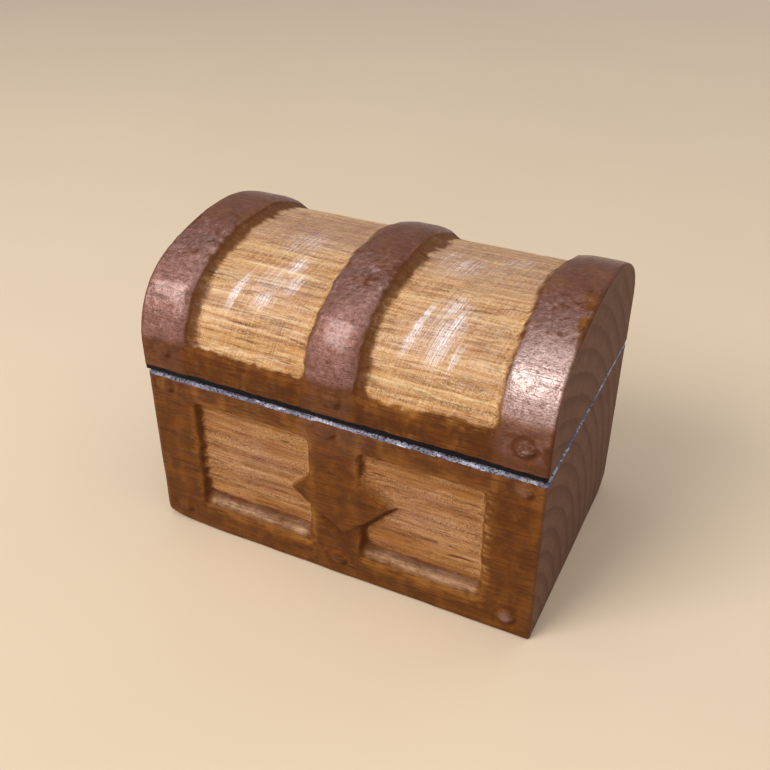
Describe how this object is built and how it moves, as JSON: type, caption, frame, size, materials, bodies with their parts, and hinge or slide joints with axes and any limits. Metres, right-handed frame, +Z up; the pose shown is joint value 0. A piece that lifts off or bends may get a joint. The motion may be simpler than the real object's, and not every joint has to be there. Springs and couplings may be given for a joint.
{
  "type": "treasure chest keepsake box",
  "caption": "Small carved hardwood treasure chest with a barrel lid on hidden-leaf brass hinges, magnetic closing and a felt-lined hollow for rings or keepsakes.",
  "frame": {"origin": "middle of the base's flat underside, under the centre of the wooden block", "axes": "+X along the box's length towards its right end, +Y from the carved front to the hinged back, +Z up"},
  "size_m": [0.07, 0.0485, 0.0525],
  "materials": {
    "base_wood": "carved beech, stained, with copper wax on the raised frame and a lacquer sheen",
    "lid_wood": "carved beech, stained, with copper wax on the raised bands and a lacquer sheen",
    "hinge_brass": "satin",
    "pin_steel": "satin",
    "screw_brass": "bright",
    "magnet_nickel": "nickel plated",
    "felt": "black wool felt"
  },
  "bodies": {
    "base": {"base_block": "base_wood", "base_wall_felt": "felt", "base_floor_felt": "felt", "hinge_base_leaf_left": "hinge_brass", "hinge_pin_left": "pin_steel", "hinge_screws_base_left": "screw_brass", "base_magnet_left": "magnet_nickel", "hinge_base_leaf_right": "hinge_brass", "hinge_pin_right": "pin_steel", "hinge_screws_base_right": "screw_brass", "base_magnet_right": "magnet_nickel"},
    "lid": {"lid_block": "lid_wood", "lid_felt": "felt", "hinge_lid_leaf_left": "hinge_brass", "hinge_screws_lid_left": "screw_brass", "lid_magnet_left": "magnet_nickel", "hinge_lid_leaf_right": "hinge_brass", "hinge_screws_lid_right": "screw_brass", "lid_magnet_right": "magnet_nickel"}
  },
  "joints": [
    {"name": "lid_hinge", "type": "hinge", "parent": "base", "child": "lid", "pos_m": [0, 0.024, 0.0315], "axis": [-1, 0, 0], "range_deg": [0, 105]}
  ]
}
